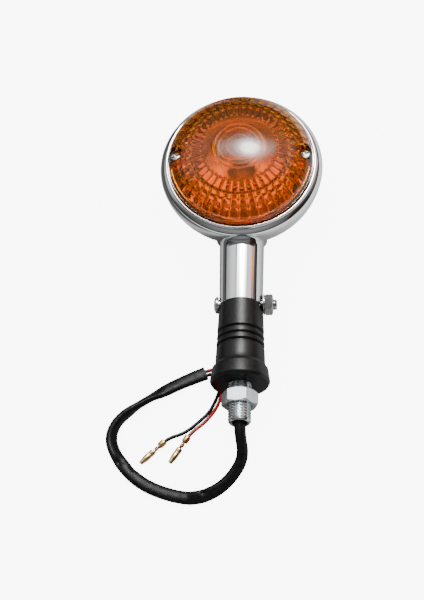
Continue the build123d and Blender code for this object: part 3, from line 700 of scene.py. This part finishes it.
theta = np.linspace(0, TAU, 72, endpoint=False)
bolt_centre = (0, 38.2, 0)
rows = []
for r, h in rounded([(0, -11.75), (2.2, -11.75), (3.7, -10.9), (3.7, -9.8), (2.5, -9.8)], [0, 0.9, 0.5, 0.1, 0]):
    rows.append(placed(r, h, theta, "X", bolt_centre))
for r, h in threaded(2.5, 0.8, -6.0, 15.2, theta, 0.38, 0.5):
    rows.append(placed(np.minimum(r, 2.5 - max(0.0, h - 14.8) * 0.8), h, theta, "X", bolt_centre))
rows.append(placed(2.0, 15.6, theta, "X", bolt_centre))
rows.append(placed(0.0, 15.6, theta, "X", bolt_centre))
bolt = finish_mesh(grid("cross_bolt", np.array(rows), False), bright, None, 40)
for wide, tall in ((1.0, 4.2), (4.2, 1.0)):
    cutter = bpy.data.meshes.new("recess")
    b = bmesh.new()
    bmesh.ops.create_cube(b, size=1)
    bmesh.ops.scale(b, vec=(2.4 * MM, wide * MM, tall * MM), verts=b.verts)
    bmesh.ops.translate(b, vec=(-11.9 * MM, 38.2 * MM, 0), verts=b.verts)
    b.to_mesh(cutter)
    b.free()
    block = bpy.data.objects.new("recess", cutter)
    bpy.context.scene.collection.objects.link(block)
    carve(bolt, block)
finish_mesh(bolt, bright, "lamp", 40)
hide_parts("clamp_bolt")

# ---------------------------------------------------------------- damper
def body_radius(y):
    return 10.8 - (y - 9.2) / (37.2 - 9.2) * 1.2


profile = rounded(
    [(5.0, 0.0), (12.2, 0.0), (13.0, 1.4), (12.1, 7.2), (11.25, 8.0), (10.8, 9.2)],
    [0.05, 0.35, 0.7, 0.6, 0.5, 0.5],
)
for y in np.arange(10.2, 17.4 - 1.4, 0.8):
    profile.append((body_radius(y), y))
for centre in (17.4, 20.6, 23.9):
    edge = body_radius(centre)
    profile += rounded(
        [(edge, centre - 1.25), (edge, centre - 0.78), (edge - 1.0, centre - 0.32),
         (edge - 1.0, centre + 0.32), (edge, centre + 0.78), (edge, centre + 1.25)],
        [0, 0.35, 0.22, 0.22, 0.35, 0], 4,
    )
for y in np.arange(25.8, 36.6, 0.8):
    profile.append((body_radius(y), y))
profile += rounded(
    [(body_radius(36.6), 36.6), (9.6, 37.2), (8.0, 37.2), (8.0, 52.0), (6.6, 52.0),
     (6.6, 28.0), (5.2, 28.0), (3.3, 25.0), (3.3, 12.0), (5.0, 12.0)],
    [0, 0.35, 0.1, 0.2, 0.1, 0, 0, 0, 0, 0], 4,
)
damper = lathe("rubber_damper", profile, "Y", (0, 0, 0), rubber, None, True, 176, 40)
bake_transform(damper)
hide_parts("damper_rubber")

# ---------------------------------------------------------------- lens
SCREWS = np.array([(-28.4, LAMP_Y + 0.8), (28.4, LAMP_Y + 0.8)])
RIBS = 44
BEAD_R = 0.62
BEAD_RINGS = (16.3, 21.0)
CIRCLES = ((5.3, 0.50), (8.6, 0.60), (10.8, 0.70))  # (radius, depth) of the circles in the middle
turns = RIBS * 12


def oval(r, radius, top):
    return 17.2 + (top - 17.2) * np.sqrt(np.clip(1 - (r / radius) ** 2, 0, 1))


def inside_height(r, theta):
    """The underside of the lens: bull's-eye, terraces, ribs and beads."""
    z = oval(r, 29.7, 30.8) + 0 * theta
    for ring, deep in CIRCLES:
        z = z - deep * np.exp(-(((r - ring) / 0.36) ** 2))
    if r < 5.3:
        z = z - 0.9 * math.cos(r / 5.3 * math.pi / 2)
    wave = np.abs((theta / TAU * RIBS) % 1.0 - 0.5) * 2
    flute = np.sqrt(np.clip(1 - (wave * 0.95) ** 2, 0, 1))
    if 16.3 < r < 21.0:
        z = z - 0.55 * flute * min(1, (r - 16.3) / 0.4, (21.0 - r) / 0.3) - 0.25
    if r >= 21.0:
        ramp = min(1, (r - 21.0) / 0.4, max(0.0, (29.4 - r) / 0.4))
        z = z - (0.95 * flute + 0.30 * abs(math.sin((r - 21.0) * math.pi / 2.1))) * ramp - 0.15 * ramp
    for ring in BEAD_RINGS:
        across = (np.abs((theta / TAU * RIBS) % 1.0 - 0.5) * TAU / RIBS) * ring
        bead = BEAD_R**2 - (r - ring) ** 2 - across**2
        z = z - 1.05 * np.sqrt(np.clip(bead, 0, None))
    return z


theta = np.linspace(0, TAU, turns, endpoint=False)
c, s = np.cos(theta), np.sin(theta)
rows = []
radii_in = np.unique(np.concatenate([
    np.linspace(0, 16, 50), np.linspace(15.5, 17.2, 12), np.linspace(17.2, 20.2, 10),
    np.linspace(20.2, 22.0, 12), np.linspace(22.0, 29.3, 40), [29.6, 29.7],
]))
for r in radii_in:
    z = inside_height(float(r), theta)
    x, y = r * c, LAMP_Y + r * s
    for sx, sy in SCREWS:
        near = np.hypot(x - sx, y - sy) < 5.2
        z = np.where(near, 16.6, z)
    rows.append(np.stack([x, y, np.maximum(z, 16.6)], -1))
rows.append(np.stack([29.7 * c, LAMP_Y + 29.7 * s, np.full(turns, 16.0)], -1))
rows.append(np.stack([31.8 * c, LAMP_Y + 31.8 * s, np.full(turns, 16.0)], -1))
rows.append(np.stack([31.9 * c, LAMP_Y + 31.9 * s, np.full(turns, 16.1)], -1))
for angle in np.concatenate([np.linspace(0, 30, 16), np.linspace(32, 89, 44)]):
    a = math.radians(angle)
    r = 31.9 * math.cos(a)
    rows.append(np.stack([r * c, LAMP_Y + r * s, np.full(turns, 17.2 + 15.8 * math.sin(a))], -1))
rows.append(np.stack([0 * c, LAMP_Y + 0 * s, np.full(turns, 33.0)], -1))
lens = grid("amber_lens", np.array(rows), False)
finish_mesh(lens, amber, None, 180)
for sx, sy in SCREWS:
    well = rounded([(0, 19.0), (3.7, 19.0), (3.7, 40), (0, 40)], [0, 0.4, 0, 0])
    carve(lens, plain("well", well, "Z", (sx, sy, 0), 64))
    carve(lens, plain("hole", [(0, 12), (2.2, 12), (2.2, 24), (0, 24)], "Z", (sx, sy, 0), 40))
finish_mesh(lens, amber, "lens", 28, merge=False)
# the middle of the underside is stippled; its beads and circles take a lighter amber, rougher and less clear, that
# paints their glints
lens.data.materials.append(amber_soft)
lens.data.materials.append(amber_glint_paint)
for polygon in lens.data.polygons:
    x, y, z = polygon.center / MM
    r = math.hypot(x, y - LAMP_Y)
    if r > 22 or z > oval(r, 31.9, 33.0) - 1.0:
        continue
    part = math.atan2(y - LAMP_Y, x) / TAU * RIBS % 1.0
    on_bead = any(
        math.hypot(r - ring, abs(part - 0.5) * TAU / RIBS * ring) < BEAD_R for ring in BEAD_RINGS
    )
    on_circle = any(abs(r - ring) < 0.34 for ring, _ in CIRCLES)
    if on_bead or on_circle:
        polygon.material_index = 2
    elif r < 16.2:
        polygon.material_index = 1
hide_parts("lens")

# ---------------------------------------------------------------- inside the lamp
reflector = lathe(
    "reflector_dish",
    [(9.0, -4.0), (13.2, -4.0)] + arc3((13.2, -4.0), (20.9, 0.6), (26.0, 9.0), 26)[1:]
    + [(26.15, 9.25), (25.9, 9.55), (25.5, 9.5)]
    + arc3((12.9, -3.2), (20.3, 1.3), (25.3, 9.2), 26)[::-1] + [(12.6, -3.2), (9.0, -3.2)],
    "Z", CENTRE, silvered, "lamp", True, 160,
)
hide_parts("reflector")

glass_out = [
    (6.7, 0.5), (6.7, 7.5), (7.3, 9.6), (8.3, 12.6), (8.9, 15.6), (9.0, 17.6),
    (8.7, 20.2), (7.7, 22.9), (6.0, 25.1), (3.6, 26.5), (1.6, 26.95), (0, 27.0),
]
glass_in = [(r * 0.93, z - 0.6 if z > 20 else z) for r, z in glass_out[::-1]]
glass = lathe("bulb_envelope", glass_out + glass_in, "Z", CENTRE, bulb_glass, "bulb", True, 96, 60)
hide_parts("bulb_glass")

stem_glass = material("bulb_stem_glass", (0.82, 0.82, 0.78), 0.25)
vary_rough(stem_glass, noise(stem_glass, 600, 2), 0.2, 0.35)
stem_outline = [(0, 2.4), (1.6, 2.4), (4.2, 2.0), (6.1, 1.0), (6.1, 0.2), (0, 0.2)]
stem = lathe("bulb_stem", stem_outline, "Z", CENTRE, stem_glass, "bulb", False, 64, 40)

for name, x in (("lens_screw_left", -28.4), ("lens_screw_right", 28.4)):
    theta = np.linspace(0, TAU, 64, endpoint=False)
    spot = (x, LAMP_Y + 0.8, 0)
    low, high = (float(c[2]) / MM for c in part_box(name))
    rows = [placed(0 * theta, low, theta, "Z", spot), placed(1.5, low, theta, "Z", spot)]
    for r, h in threaded(2.0, 0.7, low + 0.1, 19.0, theta, 0.32, 0.5):
        rows.append(placed(np.minimum(r, 1.5 + (h - low) * 1.2), h, theta, "Z", spot))
    head = [(2.0, 19.0), (3.4, 19.0), (3.5, 19.3), (2.7, 19.6), (2.5, high - 0.3), (0.0, high)]
    for r, h in rounded(head, [0, 0.1, 0.15, 0.2, 1.0, 0], 8):
        rows.append(placed(max(r, 0.0), h, theta, "Z", spot))
    # the pan head takes the darkened steel, its painted shade
    screw = finish_mesh(grid(name + "_pan_head", np.array(rows), False), screw_steel_painted_shade, None, 40)
    for wide, tall in ((0.7, 3.6), (3.6, 0.7)):
        cutter = bpy.data.meshes.new("recess")
        b = bmesh.new()
        bmesh.ops.create_cube(b, size=1)
        bmesh.ops.scale(b, vec=(wide * MM, tall * MM, 2.0 * MM), verts=b.verts)
        bmesh.ops.rotate(b, cent=(0, 0, 0), matrix=Matrix.Rotation(math.radians(25), 3, "Z"), verts=b.verts)
        bmesh.ops.translate(b, vec=(x * MM, (LAMP_Y + 0.8) * MM, high * MM), verts=b.verts)
        b.to_mesh(cutter)
        b.free()
        block = bpy.data.objects.new("recess", cutter)
        bpy.context.scene.collection.objects.link(block)
        carve(screw, block)
    finish_mesh(screw, screw_steel_painted_shade, name, 40)
    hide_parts(name)

for node, m in {
    "reflector_rivets": tin, "socket_bracket": tin, "bracket_rivets": tin, "socket_shell": tin,
    "contact_carrier": phenolic, "contact_plunger": brass, "contact_spring": wire_steel,
    "bulb_cap": nickel, "bulb_insulator": vitrite, "bulb_contact": solder, "bulb_filament": wire_steel,
    "lens_gasket": foam, "lens_nuts": zinc,
    "clamp_washer": bright, "damper_core": core_steel,
}.items():
    paint(node, m)

# ---------------------------------------------------------------- studio
SOFT_LEVEL = 1.7  # white all round, for matt surfaces
MIRROR_LEVEL = 5.5  # brightest band that metal mirrors
THROUGH_LEVEL = 3.0  # brightest light that the lens lets in
KEY_LEVEL = 70  # the glare on the lens
FLOOR_GLOW = 7.5
FLOOR_IN_MIRRORS = 1.25
COLLAR_END = 0.068  # metres; nearer than this the floor is shaded by the stalk, past it by the bowl
# brightness of the surroundings, by the X, Y or Z of the direction looked in
WORLD_X = [
    (-1, 0.22), (-0.42, 0.22), (-0.395, 0.01), (-0.345, 0.01), (-0.315, 1.0), (0.40, 1.0),
    (0.46, 0.24), (0.75, 0.24), (0.78, 0.45), (0.83, 0.45), (0.86, 0.04), (1, 0.04),
]
MIRROR_Y = [(-1, 0.40), (-0.70, 0.22), (-0.35, 0.10), (-0.10, 0.20), (0.20, 0.9), (0.55, 1), (0.72, 0.45), (1, 0.40)]
WORLD_Y = [(-1, 0.08), (-0.35, 0.08), (-0.10, 0.25), (0.20, 0.9), (1, 1)]
WORLD_Z = [(-1, 0), (0.03, 0.0), (0.09, 0.08), (0.18, 0.42), (0.38, 0.6), (0.62, 1.0), (1, 1)]

def panel(name, centre, facing, wide, tall, m=None):
    """A flat stage card that faces a point."""
    mesh = bpy.data.meshes.new(name)
    corners = [(sx * wide / 2, sy * tall / 2, 0) for sx, sy in ((-1, -1), (1, -1), (1, 1), (-1, 1))]
    mesh.from_pydata(corners, [], [(0, 1, 2, 3)])
    obj = bpy.data.objects.new(name, mesh)
    bpy.context.scene.collection.objects.link(obj)
    obj.location = centre
    obj.rotation_euler = (Vector(facing) - Vector(centre)).to_track_quat("Z", "Y").to_euler()
    obj.data.materials.append(m)
    return obj


def curve_of(t, value, points):
    """A table of (value, brightness), read between -1 and 1."""
    span = t.nodes.new("ShaderNodeMapRange")
    span.inputs["From Min"].default_value = -1
    span.inputs["From Max"].default_value = 1
    t.links.new(value, span.inputs["Value"])
    ramp = t.nodes.new("ShaderNodeValToRGB")
    stops = ramp.color_ramp.elements
    while len(stops) < len(points):
        stops.new(0.5)
    for stop, (x, level) in zip(stops, points):
        stop.position = (x + 1) / 2
        stop.color = (level, level, level, 1)
    t.links.new(span.outputs["Result"], ramp.inputs["Fac"])
    return ramp.outputs["Color"]


def maths(t, operation, a, b):
    n = t.nodes.new("ShaderNodeMath")
    n.operation = operation
    for socket, v in zip(n.inputs, (a, b)):
        if isinstance(v, (int, float)):
            socket.default_value = v
        else:
            t.links.new(v, socket)
    return n.outputs["Value"]


def times(t, a, b):
    return maths(t, "MULTIPLY", a, b)


def blended(t, a, b, share):
    """a where share is 1, b where it is 0."""
    return maths(t, "ADD", times(t, a, share), times(t, b, maths(t, "SUBTRACT", 1, share)))


def distance(t, a, b):
    return maths(t, "SQRT", maths(t, "ADD", times(t, a, a), times(t, b, b)), 0)


# floor: plain white; its own glow keeps the ground pale, and mirrors see it with a painted shadow, darker close to
# the object
pale = material("pale_floor", (0.93, 0.93, 0.93), 0.6)
vary_color(pale, noise(pale, 3, 2), (0.925, 0.925, 0.925), (0.935, 0.935, 0.935))
t = pale.node_tree
ray = t.nodes.new("ShaderNodeLightPath")
glow = times(t, ray.outputs["Is Camera Ray"], FLOOR_GLOW)
lit = t.nodes["Principled BSDF"]
lit.inputs["Specular IOR Level"].default_value = 0.0
lit.inputs["Emission Color"].default_value = (1, 1, 1, 1)
t.links.new(glow, lit.inputs["Emission Strength"])
seen = t.nodes.new("ShaderNodeEmission")
seen.inputs["Color"].default_value = (1, 1, 1, 1)
where = t.nodes.new("ShaderNodeTexCoord")
spot = t.nodes.new("ShaderNodeSeparateXYZ")
t.links.new(where.outputs["Object"], spot.inputs["Vector"])
beside = times(t, spot.outputs["X"], 10)
before = times(t, maths(t, "SUBTRACT", spot.outputs["Y"], LAMP_Y * MM), 10)
from_lamp = distance(t, beside, before)
# painted shadow on the floor as mirrors see it: darker under the bowl and along the stalk
floor_shadow_near_lamp = curve_of(t, from_lamp, [(0, 0.05), (0.36, 0.12), (0.46, 0.45), (0.62, 0.95), (1, 1)])
floor_shadow_near_stalk = curve_of(t, beside, [
    (-1, 1.0), (-0.55, 0.80), (-0.30, 0.55), (-0.14, 0.28), (0.10, 0.06), (0.18, 0.10),
    (0.32, 0.50), (0.48, 0.45), (0.70, 0.10), (1, 0.10),
])
by_stalk = maths(t, "LESS_THAN", spot.outputs["Y"], COLLAR_END)
shade = blended(t, floor_shadow_near_stalk, floor_shadow_near_lamp, by_stalk)
t.links.new(times(t, shade, FLOOR_IN_MIRRORS), seen.inputs["Strength"])
swap = t.nodes.new("ShaderNodeMixShader")
t.links.new(ray.outputs["Is Glossy Ray"], swap.inputs["Fac"])
t.links.new(lit.outputs["BSDF"], swap.inputs[1])
t.links.new(seen.outputs["Emission"], swap.inputs[2])
t.links.new(swap.outputs["Shader"], t.nodes["Material Output"].inputs["Surface"])
panel("floor", (0, 0, FLOOR_Z * MM), (0, 0, 1), 8, 8, pale)

# key light: a soft bright patch beyond the lamp, which glass and metal reflect
key_card = material("key_card", (0, 0, 0), 1.0, Specular_IOR_Level=0.0)
t = key_card.node_tree
place = t.nodes.new("ShaderNodeTexCoord")
parts = t.nodes.new("ShaderNodeSeparateXYZ")
t.links.new(place.outputs["Generated"], parts.inputs["Vector"])
across = times(t, maths(t, "SUBTRACT", parts.outputs["X"], 0.5), 2)
upward = times(t, maths(t, "SUBTRACT", parts.outputs["Y"], 0.5), 2)
out = distance(t, across, upward)
level = curve_of(t, out, [(0, 1), (0.20, 0.9), (0.34, 0.30), (0.52, 0.08), (0.75, 0.02), (0.95, 0)])
glow = t.nodes.new("ShaderNodeEmission")
glow.inputs["Color"].default_value = (1, 0.985, 0.96, 1)
t.links.new(times(t, level, KEY_LEVEL), glow.inputs["Strength"])
clear = t.nodes.new("ShaderNodeBsdfTransparent")
both = t.nodes.new("ShaderNodeAddShader")
t.links.new(glow.outputs["Emission"], both.inputs[0])
t.links.new(clear.outputs["BSDF"], both.inputs[1])
t.links.new(both.outputs["Shader"], t.nodes["Material Output"].inputs["Surface"])
glass_light = panel("key_card", (0.10, 0.61, 1.06), (0, 0.06, 0), 0.95, 0.80, key_card)
glass_light.visible_camera = False
glass_light.visible_shadow = False
glass_light.visible_diffuse = False
glass_light.visible_transmission = False

# surroundings: even white for soft light, and bands for whatever mirrors them
world = bpy.data.worlds.new("studio")
bpy.context.scene.world = world
world.use_nodes = True
world.cycles.sampling_method = "NONE"
t = world.node_tree
place = t.nodes.new("ShaderNodeTexCoord")
parts = t.nodes.new("ShaderNodeSeparateXYZ")
t.links.new(place.outputs["Generated"], parts.inputs["Vector"])
x_level = curve_of(t, parts.outputs["X"], WORLD_X)
y_level = curve_of(t, parts.outputs["Y"], WORLD_Y)
z_level = curve_of(t, parts.outputs["Z"], WORLD_Z)
mirror_y = curve_of(t, parts.outputs["Y"], MIRROR_Y)
strip = curve_of(t, parts.outputs["Y"], [(-1, 0), (0.30, 0), (0.425, 1), (0.48, 1), (0.60, 0), (1, 0)])
even = curve_of(t, parts.outputs["X"], [(-1, 0.22), (0.70, 0.22), (0.9, 0.06), (1, 0.06)])
x_level = blended(t, x_level, even, strip)
banded = times(t, times(t, x_level, mirror_y), z_level)
ray = t.nodes.new("ShaderNodeLightPath")
inside = maths(t, "MINIMUM", ray.outputs["Transmission Depth"], 1)
through = times(t, times(t, y_level, z_level), THROUGH_LEVEL)
mirrored = times(t, banded, MIRROR_LEVEL)
outside_part = times(t, mirrored, maths(t, "SUBTRACT", 1, inside))
inside_part = times(t, through, inside)
seen_level = maths(t, "ADD", outside_part, inside_part)
past_glass = maths(t, "MAXIMUM", ray.outputs["Is Transmission Ray"], inside)
sharp = maths(t, "MAXIMUM", ray.outputs["Is Glossy Ray"], past_glass)
soft_part = times(t, SOFT_LEVEL, maths(t, "SUBTRACT", 1, sharp))
total = maths(t, "ADD", soft_part, times(t, seen_level, sharp))
warm = curve_of(t, parts.outputs["X"], [(-1, 0), (0.755, 0), (0.775, 1), (0.825, 1), (0.845, 0), (1, 0)])
tint = t.nodes.new("ShaderNodeMix")
tint.data_type = "RGBA"
tint.inputs[6].default_value = (1, 1, 1, 1)
tint.inputs[7].default_value = (1.0, 0.22, 0.05, 1)
t.links.new(times(t, warm, sharp), tint.inputs[0])
t.links.new(tint.outputs[2], t.nodes["Background"].inputs["Color"])
t.links.new(total, t.nodes["Background"].inputs["Strength"])
